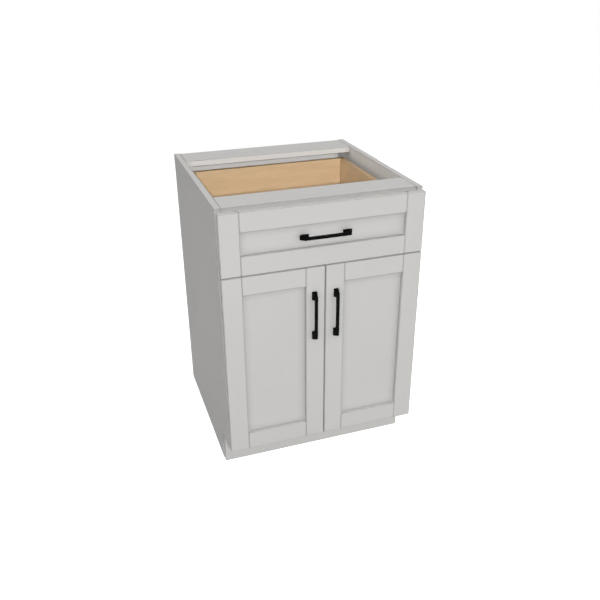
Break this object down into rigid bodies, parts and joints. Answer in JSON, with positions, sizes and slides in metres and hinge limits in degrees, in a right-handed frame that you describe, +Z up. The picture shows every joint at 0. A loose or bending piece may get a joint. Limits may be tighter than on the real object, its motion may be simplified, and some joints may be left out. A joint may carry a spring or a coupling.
{
  "type": "base cabinet",
  "caption": "Painted frameless kitchen base cabinet with a drawer over a pair of doors, frame-and-panel fronts, black bar pulls, a recessed toe kick and an open top.",
  "frame": {"origin": "on the floor, under the middle of the bounding box of the closed cabinet", "axes": "+Z up, front and doors face -Y, +X to the right of someone facing the front"},
  "size_m": [0.6096, 0.6534, 0.8763],
  "materials": {
    "painted_board": "light grey satin paint on board",
    "drawer_maple": "clear satin lacquer on pale maple",
    "black_metal": "matt black powder coat",
    "hinge_nickel": "nickel plated",
    "slide_zinc": "zinc plated"
  },
  "bodies": {
    "carcass": {"left_side_panel": "painted_board", "right_side_panel": "painted_board", "bottom_panel": "painted_board", "front_top_rail": "painted_board", "back_top_rail": "painted_board", "front_mid_rail": "painted_board", "back_panel": "painted_board", "toe_kick_board": "painted_board", "adjustable_shelf": "painted_board", "shelf_pin_front_left": "hinge_nickel", "shelf_pin_front_right": "hinge_nickel", "shelf_pin_back_left": "hinge_nickel", "shelf_pin_back_right": "hinge_nickel", "slide_outer_left": "slide_zinc", "slide_outer_right": "slide_zinc", "hinge_arm_left_bottom": "hinge_nickel", "hinge_arm_left_top": "hinge_nickel", "hinge_arm_right_bottom": "hinge_nickel", "hinge_arm_right_top": "hinge_nickel", "hinge_plate_left_bottom": "hinge_nickel", "hinge_plate_left_top": "hinge_nickel", "hinge_plate_right_bottom": "hinge_nickel", "hinge_plate_right_top": "hinge_nickel"},
    "left_slide_middle": {"slide_middle_left": "slide_zinc"},
    "right_slide_middle": {"slide_middle_right": "slide_zinc"},
    "drawer": {"drawer_front_left_stile": "painted_board", "drawer_front_right_stile": "painted_board", "drawer_front_top_rail": "painted_board", "drawer_front_bottom_rail": "painted_board", "drawer_front_panel": "painted_board", "drawer_pull": "black_metal", "drawer_pull_spacer_left": "black_metal", "drawer_pull_spacer_right": "black_metal", "drawer_box_left_side": "drawer_maple", "drawer_box_right_side": "drawer_maple", "drawer_box_front": "drawer_maple", "drawer_box_back": "drawer_maple", "drawer_box_bottom": "drawer_maple", "slide_inner_left": "slide_zinc", "slide_inner_right": "slide_zinc"},
    "left_door": {"left_door_hinge_stile": "painted_board", "left_door_pull_stile": "painted_board", "left_door_top_rail": "painted_board", "left_door_bottom_rail": "painted_board", "left_door_panel": "painted_board", "left_door_pull": "black_metal", "hinge_cup_left_bottom": "hinge_nickel", "hinge_cup_left_top": "hinge_nickel"},
    "right_door": {"right_door_hinge_stile": "painted_board", "right_door_pull_stile": "painted_board", "right_door_top_rail": "painted_board", "right_door_bottom_rail": "painted_board", "right_door_panel": "painted_board", "right_door_pull": "black_metal", "hinge_cup_right_bottom": "hinge_nickel", "hinge_cup_right_top": "hinge_nickel"}
  },
  "joints": [
    {"name": "drawer_slide", "type": "slide", "parent": "carcass", "child": "drawer", "axis": [0, -1, 0], "range_m": [0, 0.5]},
    {"name": "left_slide_telescope", "type": "slide", "parent": "carcass", "child": "left_slide_middle", "axis": [0, -1, 0], "range_m": [0, 0.25]},
    {"name": "right_slide_telescope", "type": "slide", "parent": "carcass", "child": "right_slide_middle", "axis": [0, -1, 0], "range_m": [0, 0.25]},
    {"name": "left_door_hinge", "type": "hinge", "parent": "carcass", "child": "left_door", "pos_m": [-0.291, -0.29452, 0.39265], "axis": [0, 0, -1], "range_deg": [0, 105]},
    {"name": "right_door_hinge", "type": "hinge", "parent": "carcass", "child": "right_door", "pos_m": [0.291, -0.29452, 0.39265], "axis": [0, 0, 1], "range_deg": [0, 105]}
  ],
  "couplings": [
    {"joint": "left_slide_telescope", "follows": "drawer_slide", "ratio": 0.5},
    {"joint": "right_slide_telescope", "follows": "drawer_slide", "ratio": 0.5}
  ]
}
